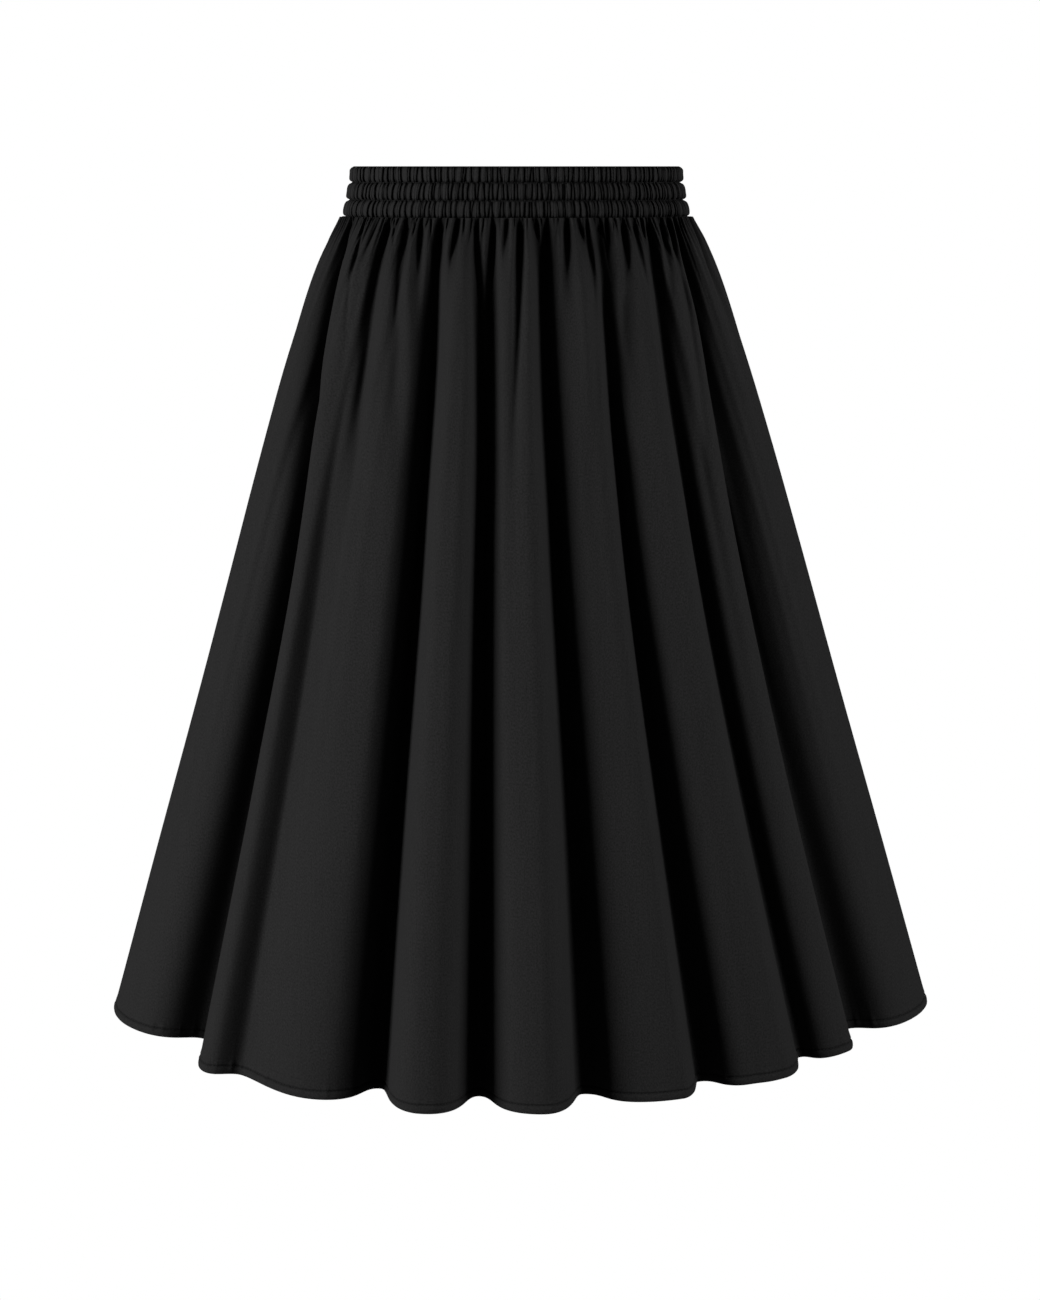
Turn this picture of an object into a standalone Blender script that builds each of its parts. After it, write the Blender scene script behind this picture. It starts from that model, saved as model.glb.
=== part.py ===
"""A midi skirt, hollow and filled out as if worn: an elasticated waistband ribbed by its
gathers and stitched in three channels, and a full skirt of a front and a back panel whose
gathers open downward into deep flutes that end in a narrow turned-up hem.

Metres, +Z up. The front faces -Y and the wearer's left is +X. The origin is the middle of
the waist opening, half-way up the band.
"""
import bpy
import numpy as np

# Waistband
BAND_HEIGHT = 0.0425
BAND_WALL = 0.0030
RIBS = 126
RIB_RISE = 0.0013
TOP = BAND_HEIGHT / 2

# Skirt
SIDE_DROP = 0.714
CENTRE_DROP = 0.746
SWAY = 0.0035
CLOTH = 0.0016
HEM_CLOTH = 0.0027
HEM_DEPTH = 0.0085
SEAM_GAP = 0.0003
COLUMNS_PER_FLUTE = 12

# Drop below the band's top edge, half width of the band there (its ribs' crests)
BAND_WIDTHS = np.array([
    (0.0000, 0.1392),
    (0.0030, 0.1416),
    (0.0105, 0.1421),
    (0.0136, 0.1407),
    (0.0172, 0.1432),
    (0.0250, 0.1445),
    (0.0284, 0.1433),
    (0.0320, 0.1462),
    (0.0392, 0.1474),
    (0.0425, 0.1466),
])
BAND_DEPTH_SHARE = 0.707

# Drop below the band's top edge at the sides, half width, depth in front, depth behind
SKIRT_SECTIONS = np.array([
    (0.0425, 0.1475, 0.1040, 0.1040),
    (0.0868, 0.1700, 0.1285, 0.1330),
    (0.1547, 0.1940, 0.1560, 0.1640),
    (0.2231, 0.2138, 0.1790, 0.1880),
    (0.2918, 0.2336, 0.2000, 0.2080),
    (0.4306, 0.2733, 0.2360, 0.2430),
    (0.5712, 0.3138, 0.2680, 0.2730),
    (0.7140, 0.3540, 0.2860, 0.3050),
])

# One row per valley, from the wearer's right of the front round by the left and the back.
# Its angle at the band, at 0.35 of the fall and at the hem, in degrees from the front;
# its depth at the hem in millimetres; then, of the flute that follows it, where its crest
# stands between the two valleys, how far its crest is set back in millimetres, how many
# gathers it takes up at the band and the share of the fall over which they die away.
FOLDS = np.array([
    (-64.3, -55.1, -50.3, 50, 0.54, -14, 2, 0.16),
    (-42.2, -41.6, -39.7, 5, 0.48, -8, 3, 0.20),
    (-22.8, -19.6, -18.6, 48, 0.49, -10, 2, 0.22),
    (-9.2, -7.3, -5.3, 53, 0.59, 0, 2, 0.24),
    (6.0, 5.8, 7.8, 52, 0.76, 11, 3, 0.17),
    (21.4, 20.9, 24.5, 50, 0.70, 9, 2, 0.18),
    (41.0, 38.9, 42.9, 43, 0.70, 15, 2, 0.14),
    (56.5, 53.0, 55.1, 42, 0.60, 1, 4, 0.15),
    (98.0, 97.0, 96.0, 46, 0.50, 0, 3, 0.16),
    (113.0, 113.5, 113.0, 43, 0.55, 4, 2, 0.20),
    (130.5, 131.0, 130.0, 52, 0.48, -3, 3, 0.14),
    (149.0, 147.5, 148.0, 41, 0.56, 5, 2, 0.21),
    (163.5, 165.5, 165.0, 53, 0.45, -2, 3, 0.17),
    (182.5, 183.5, 182.0, 45, 0.52, 6, 2, 0.24),
    (200.5, 199.0, 199.5, 51, 0.54, 1, 3, 0.15),
    (215.5, 216.5, 217.0, 42, 0.47, 7, 2, 0.19),
    (234.5, 233.5, 233.0, 52, 0.53, -2, 3, 0.16),
    (252.0, 250.5, 250.0, 44, 0.50, 3, 2, 0.18),
    (267.0, 267.0, 266.0, 46, 0.50, -2, 4, 0.15),
])
GATHER_RISE = 0.0032
VALLEY_TURN = np.radians(28.0)
FRONT_FLUTES = (18, 8)
BACK_FLUTES = (8, 18)

# Share of the fall, share of the full depth that the valleys have reached
GROWTH = np.array([
    (0.00, 0.06),
    (0.10, 0.24),
    (0.30, 0.50),
    (0.60, 0.78),
    (1.00, 1.00),
])

# Rows down a panel; the last two strips are the turned-up hem
HEM_SHARE = HEM_DEPTH / (SIDE_DROP - BAND_HEIGHT)
ROWS = np.array([0.0, 0.03, 0.07, 0.13, 0.22, 0.34, 0.50, 0.68, 0.86,
                 1 - HEM_SHARE - 0.0015, 1 - HEM_SHARE, 1.0])

for item in list(bpy.data.objects):
    bpy.data.objects.remove(item)


def cloth_material(name, roughness):
    """Matte black cotton."""
    material = bpy.data.materials.new(name)
    material.use_nodes = True
    shader = material.node_tree.nodes["Principled BSDF"]
    shader.inputs["Base Color"].default_value = (0.018, 0.018, 0.019, 1.0)
    shader.inputs["Roughness"].default_value = roughness
    shader.inputs["Specular IOR Level"].default_value = 0.25
    return material


def through(places, table, column):
    """The smooth curve through one column of a table: a cubic in each span, whose slope at
    each row is the mean of the spans on either side."""
    at = table[:, 0]
    value = table[:, column]
    secant = np.diff(value) / np.diff(at)
    slope = np.concatenate([secant[:1], (secant[1:] + secant[:-1]) / 2, secant[-1:]])
    span = np.clip(np.searchsorted(at, places, side="right") - 1, 0, len(at) - 2)
    width = at[span + 1] - at[span]
    t = (places - at[span]) / width
    return ((2 * t**3 - 3 * t**2 + 1) * value[span]
            + (t**3 - 2 * t**2 + t) * width * slope[span]
            + (3 * t**2 - 2 * t**3) * value[span + 1]
            + (t**3 - t**2) * width * slope[span + 1])


def valley_angles(fall):
    """The angle of every valley at each share of the fall, one column per valley."""
    lines = []
    for row in FOLDS:
        knots = np.array([(0.0, row[0]), (0.35, row[1]), (1.0, row[2])])
        lines.append(np.radians(through(fall, knots, 1)))
    return np.stack(lines, axis=-1)


def skirt_surface(fall):
    """The outside of the whole skirt: one row per share of the fall, one column per step
    round it, twelve steps to a flute.

    Each flute runs from one valley to the next. Its steps bunch toward the sides of the
    flute, so that its walls run nearly straight in; the cloth sinks from the crest to the
    valley as one minus the cosine of the way across. The gathers are small waves that fit
    the flute a whole number of times, strongest at the band. The cloth sinks along the
    oval's normal, turned so that the valleys face more to the front or the back.
    """
    count = len(FOLDS)
    flute = np.repeat(np.arange(count), COLUMNS_PER_FLUTE)
    across = np.tile(np.arange(COLUMNS_PER_FLUTE) / COLUMNS_PER_FLUTE, count)
    following = (flute + 1) % count
    lines = valley_angles(fall)
    start = lines[:, flute]
    end = lines[:, following] + np.where(flute + 1 == count, 2 * np.pi, 0.0)
    crest = start + (end - start) * FOLDS[flute, 4]
    opening = across < 0.5
    away = np.abs(2 * across - 1)
    depth = np.where(opening, FOLDS[flute, 3], FOLDS[following, 3]) / 1000
    steep = np.clip(fall[:, None] / 0.35, 0, 1)
    fullness = np.clip(depth / 0.045, 0, 1) ** 2
    warped = (away + (0.06 + 0.19 * steep) * fullness * np.sin(np.pi * away)
              + 0.13 * steep * fullness * np.sin(2 * np.pi * away))
    angle = crest + np.where(opening, start - crest, end - crest) * warped
    growth = through(fall, GROWTH, 1)[:, None]
    set_back = FOLDS[flute, 5] / 1000
    sunk = growth * (set_back * (1 + np.cos(np.pi * away)) / 2
                     + depth * (1 - np.cos(np.pi * away)) / 2)
    dying = np.exp(-(fall[:, None] / FOLDS[flute, 7]) ** 1.3)
    sunk = sunk + GATHER_RISE * dying * (1 + np.cos(2 * np.pi * FOLDS[flute, 6] * across)) / 2
    drop = BAND_HEIGHT + (SIDE_DROP - BAND_HEIGHT) * fall[:, None]
    half_width = through(drop, SKIRT_SECTIONS, 1)
    half_depth = np.where(np.cos(angle) > 0, through(drop, SKIRT_SECTIONS, 2),
                          through(drop, SKIRT_SECTIONS, 3))
    bearing = np.arctan2(np.sin(angle) / half_width, np.cos(angle) / half_depth)
    bearing = bearing - VALLEY_TURN * np.sin(2 * bearing)
    x = half_width * np.sin(angle) - sunk * np.sin(bearing) + SWAY * fall[:, None]
    y = -half_depth * np.cos(angle) + sunk * np.cos(bearing)
    longer = (CENTRE_DROP - SIDE_DROP) * fall[:, None] * np.cos(angle) ** 2
    z = TOP - drop - longer
    return np.stack([x, y, z], axis=-1)


def level_directions(points):
    """For a ring of columns, the level directions along it and out of it at every point."""
    along = np.roll(points, -1, axis=1) - np.roll(points, 1, axis=1)
    along[..., 2] = 0.0
    along /= np.linalg.norm(along, axis=-1, keepdims=True)
    out = np.stack([along[..., 1], -along[..., 0], np.zeros(along.shape[:2])], axis=-1)
    return along, out


def closed_wall(name, outside, inside, ring, material):
    """One closed body from two grids of points: its outside, its inside, its top and bottom
    edges and, if it is no ring, its two side edges."""
    rows, columns = outside.shape[:2]
    spans = columns if ring else columns - 1
    a = np.arange(spans)
    b = (a + 1) % columns
    faces = []

    def index(side, row, column):
        return side * rows * columns + row * columns + column

    for row in range(rows - 1):
        faces.append(np.stack([index(0, row, a), index(0, row + 1, a),
                               index(0, row + 1, b), index(0, row, b)], axis=-1))
        if inside.shape[0] == rows:
            faces.append(np.stack([index(1, row, a), index(1, row, b),
                                   index(1, row + 1, b), index(1, row + 1, a)], axis=-1))
    last = inside.shape[0] - 1
    if inside.shape[0] != rows:
        faces.append(np.stack([index(1, 0, a), index(1, 0, b),
                               index(1, last, b), index(1, last, a)], axis=-1))
    faces.append(np.stack([index(0, 0, a), index(0, 0, b),
                           index(1, 0, b), index(1, 0, a)], axis=-1))
    faces.append(np.stack([index(0, rows - 1, a), index(1, last, a),
                           index(1, last, b), index(0, rows - 1, b)], axis=-1))
    if not ring:
        r = np.arange(rows - 1)
        end = columns - 1
        faces.append(np.stack([index(0, r, 0), index(1, r, 0),
                               index(1, r + 1, 0), index(0, r + 1, 0)], axis=-1))
        faces.append(np.stack([index(0, r, end), index(0, r + 1, end),
                               index(1, r + 1, end), index(1, r, end)], axis=-1))
    points = np.concatenate([outside.reshape(-1, 3), inside.reshape(-1, 3)])
    quads = np.concatenate(faces)
    mesh = bpy.data.meshes.new(name)
    mesh.from_pydata(points.tolist(), [], quads.tolist())
    mesh.materials.append(material)
    mesh.update()
    body = bpy.data.objects.new(name, mesh)
    bpy.context.scene.collection.objects.link(body)
    mesh.shade_smooth()
    mesh.set_sharp_from_angle(angle=np.radians(50))
    return body


# Waistband: a folded strip over elastic, ribbed on its face and plain within
def build_waistband():
    """The ribs stand up and sink by turns round the ring; the stitching between the
    channels presses them to two thirds of their rise."""
    turn = np.arange(2 * RIBS) / (2 * RIBS) * 2 * np.pi
    groove = (np.arange(2 * RIBS) % 2)[None, :]
    seam_rows = np.isin(np.arange(len(BAND_WIDTHS)), (0, 3, 6, 9))
    rise = np.where(seam_rows, 0.66, 1.0)[:, None] * RIB_RISE
    width = BAND_WIDTHS[:, 1][:, None] - rise * groove
    depth = BAND_WIDTHS[:, 1][:, None] * BAND_DEPTH_SHARE - rise * groove
    z = (TOP - BAND_WIDTHS[:, 0])[:, None] + np.zeros_like(width)
    outside = np.stack([width * np.sin(turn), -depth * np.cos(turn), z], axis=-1)
    inner_width = BAND_WIDTHS[[0, -1], 1][:, None] - RIB_RISE - BAND_WALL + 0.0 * turn
    inner_depth = (BAND_WIDTHS[[0, -1], 1][:, None] * BAND_DEPTH_SHARE - RIB_RISE
                   - BAND_WALL + 0.0 * turn)
    inner_z = TOP - BAND_WIDTHS[[0, -1], 0][:, None] + 0.0 * turn
    inside = np.stack([inner_width * np.sin(turn), -inner_depth * np.cos(turn), inner_z],
                      axis=-1)
    closed_wall("waistband", outside, inside, True, cloth_material("band_cotton", 0.86))


# Skirt panels: the same cloth, gathered into the band, meeting at the side seams
def build_panels():
    """Both panels are cut from one surface, at the valleys where the side seams lie. The
    inside is the outside moved level through the cloth's thickness, and further at the
    hem, where the edge is turned up."""
    outside = skirt_surface(ROWS)
    outside[..., 2] -= SEAM_GAP
    along, out = level_directions(outside)
    thick = np.where(ROWS >= 1 - HEM_SHARE - 1e-9, HEM_CLOTH, CLOTH)[:, None, None]
    inside = outside - out * thick
    total = outside.shape[1]
    panels = (("skirt_front", FRONT_FLUTES), ("skirt_back", BACK_FLUTES))
    for name, (first, last) in panels:
        start = first * COLUMNS_PER_FLUTE
        end = last * COLUMNS_PER_FLUTE
        if end <= start:
            end += total
        columns = np.arange(start, end + 1) % total
        front = outside[:, columns].copy()
        back = inside[:, columns].copy()
        for grid in (front, back):
            grid[:, 0] += along[:, columns[0]] * SEAM_GAP / 2
            grid[:, -1] -= along[:, columns[-1]] * SEAM_GAP / 2
        closed_wall(name, front, back, False, cloth_material(name + "_cotton", 0.9))


build_waistband()
build_panels()
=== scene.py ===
"""A black gathered midi skirt with a wide elasticated waistband, filled out as if worn.

Metres, +Z up, the front facing -Y. Its sections follow the making of the skirt: the
waistband and its stitching, the two flared panels gathered into it, their side seams and
hem, and then the floor, the lamps and the camera.
"""
import math
import bpy
import numpy as np
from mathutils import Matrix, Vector


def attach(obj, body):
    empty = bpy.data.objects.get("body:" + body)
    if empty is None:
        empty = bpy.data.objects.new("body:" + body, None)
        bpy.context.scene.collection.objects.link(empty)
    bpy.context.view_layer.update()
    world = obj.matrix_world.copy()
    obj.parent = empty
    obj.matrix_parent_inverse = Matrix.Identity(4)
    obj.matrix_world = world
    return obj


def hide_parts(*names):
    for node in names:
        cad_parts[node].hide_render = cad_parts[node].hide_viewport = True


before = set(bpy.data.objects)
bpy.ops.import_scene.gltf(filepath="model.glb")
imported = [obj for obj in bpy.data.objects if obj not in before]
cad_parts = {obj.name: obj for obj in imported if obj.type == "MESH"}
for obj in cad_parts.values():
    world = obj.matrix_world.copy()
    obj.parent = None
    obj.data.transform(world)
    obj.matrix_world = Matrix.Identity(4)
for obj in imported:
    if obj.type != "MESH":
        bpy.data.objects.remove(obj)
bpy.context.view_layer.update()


# The waistband is one strip of the skirt's black cotton, folded over flat elastic and sewn
# through into three channels. The elastic draws it in, so the cloth stands in uneven ribs
# between the rows of stitching. It rides at the wearer's waist and holds the panels.
BAND_HEIGHT = 0.0425
BAND_TOP = BAND_HEIGHT / 2
BAND_THICK = 0.0050
BAND_DEPTH_SHARE = 0.707
BAND_COLUMNS = 1900
CHANNEL_SEAMS = (0.0, 0.0138, 0.0284, 0.0425)
# Once round the relaxed waist, and the half width at which the steps round it are even
WAIST_ROUND = 0.78
MIDDLE_HALF_WIDTH = 0.1445

# Drop below the band's top edge, half width of the band over its ribs
BAND_DROPS = np.array([0.0, 0.0016, 0.0060, 0.0105, 0.0138, 0.0172, 0.0220, 0.0255,
                       0.0284, 0.0318, 0.0360, 0.0395, 0.0425])
BAND_HALF_WIDTHS = np.array([0.1400, 0.1415, 0.1421, 0.1423, 0.1416, 0.1436, 0.1447, 0.1449,
                             0.1442, 0.1464, 0.1477, 0.1478, 0.1470])

# Drops of the rows of points down the outside, close together at the stitching, and of
# those up the inside
OUTER_DROPS = np.concatenate([
    [0.0004, 0.0010, 0.0018],
    np.linspace(0.0030, 0.0128, 10),
    [0.0133, 0.0138, 0.0143],
    np.linspace(0.0152, 0.0274, 11),
    [0.0279, 0.0284, 0.0289],
    np.linspace(0.0298, 0.0414, 11),
    [0.0420, 0.0425],
])
INNER_DROPS = np.array([0.0425, 0.0355, 0.0284, 0.0210, 0.0138, 0.0065, 0.0020, 0.0004])
# The inside swells by a share of the ribs' creases, its top edge leans in to the fold, and
# the cloth turns under at the foot
INNER_SWELL = 0.25
INNER_LIP = 0.0008
FOOT_TURN = 0.004

# Ribs round each channel, how far each bows out if it is this wide, and the creases
# between them. Finer creases, more by a ratio, lie among those.
CHANNEL_RIBS = (140, 162, 166)
RIB_BOW = 0.0012
WIDE_RIB = 0.005
CREASE_DEPTH = 0.0040
CREASE_WIDTH = 0.00095
CREASE_JITTER = 0.34
CREASE_LEAN = 0.30
CREASE_SEED = 11
FINE_CREASE_RATIO = 1.7
FINE_CREASE_DEPTH = 0.0021
FINE_CREASE_WIDTH = 0.0005
FINE_CREASE_SEED = 31
# Creases sink square to the oval, turned toward the front or the back by up to this
CREASE_TURN = math.radians(38)
# The groove that each row of stitching pulls, and the rounding of the folded top
SEAM_GROOVE = 0.0024
GROOVE_WIDTH = 0.00090
TOP_ROUNDING = 0.0030
TOP_ROUNDED_DROP = 0.0044
# How far creases may sink, alone and with the grooves and the rounding
CREASE_LIMIT = 0.0043
SINK_LIMIT = 0.0045
# How far a point sinks before shade is painted into its colour, and over how much more the
# painted shade grows full
SHADE_START = 0.0009
SHADE_SPAN = 0.0018

# Place round the band as a share of a turn from the front, spacing of the ribs there
# against their mean: they crowd at the front and stand wide at the wearer's right
RIB_SPACING = np.array([(0.00, 0.85), (0.10, 0.90), (0.22, 1.05), (0.35, 1.00), (0.50, 0.95),
                        (0.65, 1.05), (0.74, 1.70), (0.84, 1.50), (0.92, 1.05), (1.00, 0.85)])


def through(places, knots, values):
    """The smooth curve through the points (knots, values): a cubic in each span, whose
    slope at each knot is the mean of the spans on either side."""
    knots = np.asarray(knots, dtype=float)
    values = np.asarray(values, dtype=float)
    secant = np.diff(values) / np.diff(knots)
    slope = np.concatenate([secant[:1], (secant[1:] + secant[:-1]) / 2, secant[-1:]])
    span = np.clip(np.searchsorted(knots, places, side="right") - 1, 0, len(knots) - 2)
    width = knots[span + 1] - knots[span]
    t = (places - knots[span]) / width
    return ((2 * t**3 - 3 * t**2 + 1) * values[span]
            + (t**3 - 2 * t**2 + t) * width * slope[span]
            + (3 * t**2 - 2 * t**3) * values[span + 1]
            + (t**3 - t**2) * width * slope[span + 1])


def even_turns(half_width, half_depth, count):
    """The turns round an ellipse, from the front, at which equal arcs begin."""
    fine = np.linspace(0, 2 * math.pi, 20001)
    step = np.hypot(np.diff(half_width * np.sin(fine)), np.diff(half_depth * np.cos(fine)))
    arc = np.concatenate([[0.0], np.cumsum(step)])
    return np.interp(np.arange(count) / count * arc[-1], arc, fine)


def creases(around, height, count, seed, crease_depth, crease_width, bow_rise):
    """How far the cloth sinks in its creases, in metres, on a grid of heights by places
    round. The creases stand at uneven steps and lean a little. Each is the fall-off e to
    the minus (distance over width) to the 1.3, deepest at the seams and at most 0.62 of
    that midway between them. Between two creases the cloth bows out as a half sine to the
    0.6, and less where they stand close."""
    rng = np.random.default_rng(seed)
    fine = np.linspace(0, 1, 2001)
    crowd = 1 / np.interp(fine, RIB_SPACING[:, 0], RIB_SPACING[:, 1])
    filled = np.concatenate([[0.0], np.cumsum((crowd[1:] + crowd[:-1]) / 2)])
    step = (np.arange(count) + 0.5 + rng.uniform(-CREASE_JITTER, CREASE_JITTER, count)) / count
    place = np.interp(step, filled / filled[-1], fine)
    lean = rng.uniform(-CREASE_LEAN, CREASE_LEAN, count) / count
    depth = rng.uniform(0.50, 1.0, count)
    top_share = rng.uniform(0.25, 1.0, count)
    foot_share = rng.uniform(0.25, 1.0, count)
    sunk = np.zeros((len(height), len(around)))
    for row, level in enumerate(height):
        at = place + lean * (level - 0.5)
        order = np.argsort(at)
        at = at[order]
        pinch = abs(2 * level - 1) ** 1.6
        share = np.where(level < 0.5, top_share, foot_share)
        strength = (depth * (0.62 + 0.38 * pinch) * (1 - 0.45 * (1 - share) * (1 - pinch)))
        strength = strength[order]
        right = np.searchsorted(at, around) % count
        left = (right - 1) % count
        to_left = (around - at[left]) % 1.0 * WAIST_ROUND
        to_right = (at[right] - around) % 1.0 * WAIST_ROUND
        gap = to_left + to_right
        dip = np.maximum(strength[left] * np.exp(-(to_left / crease_width) ** 1.3),
                         strength[right] * np.exp(-(to_right / crease_width) ** 1.3))
        bow = np.sin(math.pi * to_left / gap) ** 0.6 * np.clip(gap / WIDE_RIB, 0.2, 1.25)
        shallow = 0.5 * (strength[left] + strength[right])
        sunk[row] = crease_depth * dip + bow_rise * (1 - bow * shallow)
    return sunk


def placed(name, mesh):
    """A mesh as a piece of the scene, at the origin."""
    piece = bpy.data.objects.new(name, mesh)
    bpy.context.scene.collection.objects.link(piece)
    return piece


def paint_crease_shade(piece, depth):
    """Notes at each point how much shade is painted into its colour for creases, grooves and
    dents, from nought to one.
    """
    layer = piece.data.attributes.new("painted_crease_shade", "FLOAT", "POINT")
    layer.data.foreach_set("value", depth.reshape(-1).astype(np.float32))


def ring_mesh(name, points, uv):
    """A mesh of quads over a grid of points that closes on itself both ways, with a UV map
    in metres called cloth that runs on by the waist's length where the ring closes."""
    rows, columns = points.shape[:2]
    index = np.arange(rows * columns).reshape(rows, columns)
    down = np.roll(index, -1, axis=0)
    quads = np.stack([index, down, np.roll(down, -1, axis=1), np.roll(index, -1, axis=1)],
                     axis=-1).reshape(-1, 4)
    mesh = bpy.data.meshes.new(name)
    mesh.from_pydata(points.reshape(-1, 3).tolist(), [], quads.tolist())
    layer = mesh.uv_layers.new(name="cloth")
    onward = np.concatenate([uv[:, 1:], uv[:, :1] + [WAIST_ROUND, 0.0]], axis=1)
    here = uv.reshape(-1, 2)
    onward = onward.reshape(-1, 2)
    corners = np.stack([here[quads[:, 0]], here[quads[:, 1]], onward[quads[:, 1]],
                        onward[quads[:, 0]]], axis=1)
    layer.data.foreach_set("uv", corners.reshape(-1).astype(np.float32))
    mesh.shade_smooth()
    return placed(name, mesh)


def weave_group():
    """The shared look of the cotton: out of a place on the cloth in metres come its dye,
    mottled and flecked along the threads, its roughness, and the height of its twill."""
    group = bpy.data.node_groups.new("cotton_twill", "ShaderNodeTree")
    face = group.interface
    for name, kind in (("Cloth", "NodeSocketVector"), ("Dye", "NodeSocketColor"),
                       ("Fleck", "NodeSocketFloat")):
        face.new_socket(name=name, in_out="INPUT", socket_type=kind)
    for name, kind in (("Colour", "NodeSocketColor"), ("Roughness", "NodeSocketFloat"),
                       ("Height", "NodeSocketFloat")):
        face.new_socket(name=name, in_out="OUTPUT", socket_type=kind)
    nodes = group.nodes
    links = group.links
    entry = nodes.new("NodeGroupInput")
    result = nodes.new("NodeGroupOutput")

    def noise(scale_x, scale_y, detail):
        """Noise over the cloth, with this many grains a metre across it and down it."""
        mapping = nodes.new("ShaderNodeMapping")
        mapping.inputs["Scale"].default_value = (scale_x, scale_y, 1.0)
        texture = nodes.new("ShaderNodeTexNoise")
        texture.inputs["Scale"].default_value = 1.0
        texture.inputs["Detail"].default_value = detail
        links.new(entry.outputs["Cloth"], mapping.inputs["Vector"])
        links.new(mapping.outputs["Vector"], texture.inputs["Vector"])
        return texture.outputs["Fac"]

    def maths(operation, first, second):
        """One sum or product of two sockets or numbers."""
        node = nodes.new("ShaderNodeMath")
        node.operation = operation
        for socket, value in zip(node.inputs, (first, second)):
            if isinstance(value, (int, float)):
                socket.default_value = value
            else:
                links.new(value, socket)
        return node.outputs[0]

    fleck = noise(820.0, 620.0, 3.0)
    slub = noise(420.0, 26.0, 2.0)
    mottle = noise(22.0, 14.0, 3.0)
    speck = maths("MULTIPLY", maths("SUBTRACT", fleck, 0.5), entry.outputs["Fleck"])
    thread = maths("MULTIPLY", maths("SUBTRACT", slub, 0.5), 0.30)
    cloud = maths("MULTIPLY", maths("SUBTRACT", mottle, 0.5), 0.10)
    tone = maths("ADD", maths("ADD", maths("ADD", speck, thread), cloud), 1.0)
    tint = nodes.new("ShaderNodeVectorMath")
    tint.operation = "SCALE"
    links.new(entry.outputs["Dye"], tint.inputs[0])
    links.new(tone, tint.inputs["Scale"])
    links.new(tint.outputs["Vector"], result.inputs["Colour"])
    rough = maths("ADD", maths("MULTIPLY", fleck, 0.12), 0.80)
    links.new(rough, result.inputs["Roughness"])
    twill = nodes.new("ShaderNodeTexWave")
    twill.wave_type = "BANDS"
    twill.bands_direction = "DIAGONAL"
    twill.inputs["Scale"].default_value = 1.0
    twill.inputs["Distortion"].default_value = 1.2
    twill_place = nodes.new("ShaderNodeMapping")
    twill_place.inputs["Scale"].default_value = (520.0, 520.0, 1.0)
    links.new(entry.outputs["Cloth"], twill_place.inputs["Vector"])
    links.new(twill_place.outputs["Vector"], twill.inputs["Vector"])
    height = maths("ADD", maths("MULTIPLY", twill.outputs["Fac"], 0.35),
                   maths("MULTIPLY", fleck, 0.65))
    links.new(height, result.inputs["Height"])
    return group


cotton_twill = weave_group()
# Share of the colour's brightness left in the deepest creases, where shade is painted in
DEEPEST_PAINTED_SHADE = 0.12


def cotton(name, dye, fleck, relief):
    """Matte dyed cotton: the twill group feeds colour, roughness and a fine bump, and shade is
    painted into the colour down in a crease, where the crease attribute nears one."""
    material = bpy.data.materials.new(name)
    material.use_nodes = True
    nodes = material.node_tree.nodes
    links = material.node_tree.links
    shader = nodes["Principled BSDF"]
    shader.inputs["Specular IOR Level"].default_value = 0.16
    shader.inputs["Sheen Weight"].default_value = 0.03
    shader.inputs["Sheen Roughness"].default_value = 0.5
    place = nodes.new("ShaderNodeUVMap")
    place.uv_map = "cloth"
    weave = nodes.new("ShaderNodeGroup")
    weave.node_tree = cotton_twill
    weave.inputs["Dye"].default_value = (*dye, 1.0)
    weave.inputs["Fleck"].default_value = fleck
    links.new(place.outputs["UV"], weave.inputs["Cloth"])
    # Painted shade: the colour darkens toward a share of itself where the crease attribute
    # nears one
    fold = nodes.new("ShaderNodeAttribute")
    fold.attribute_name = "painted_crease_shade"
    deepen = nodes.new("ShaderNodeMapRange")
    deepen.inputs["To Min"].default_value = 1.0
    deepen.inputs["To Max"].default_value = DEEPEST_PAINTED_SHADE
    links.new(fold.outputs["Fac"], deepen.inputs["Value"])
    tint = nodes.new("ShaderNodeVectorMath")
    tint.operation = "SCALE"
    links.new(weave.outputs["Colour"], tint.inputs[0])
    links.new(deepen.outputs["Result"], tint.inputs["Scale"])
    links.new(tint.outputs["Vector"], shader.inputs["Base Color"])
    links.new(weave.outputs["Roughness"], shader.inputs["Roughness"])
    bump = nodes.new("ShaderNodeBump")
    bump.inputs["Strength"].default_value = 0.55
    bump.inputs["Distance"].default_value = relief
    links.new(weave.outputs["Height"], bump.inputs["Height"])
    links.new(bump.outputs["Normal"], shader.inputs["Normal"])
    return material


# The dye, and how much paler the band's colour is made than the panels', a painted highlight
# for the light on its ribs
BLACK_DYE = (0.0205, 0.0203, 0.0205)
BAND_PAINTED_HIGHLIGHT = 1.12
band_cotton = cotton("band_cotton", dye=[BAND_PAINTED_HIGHLIGHT * tone for tone in BLACK_DYE],
                     fleck=1.30, relief=0.00018)


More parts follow.
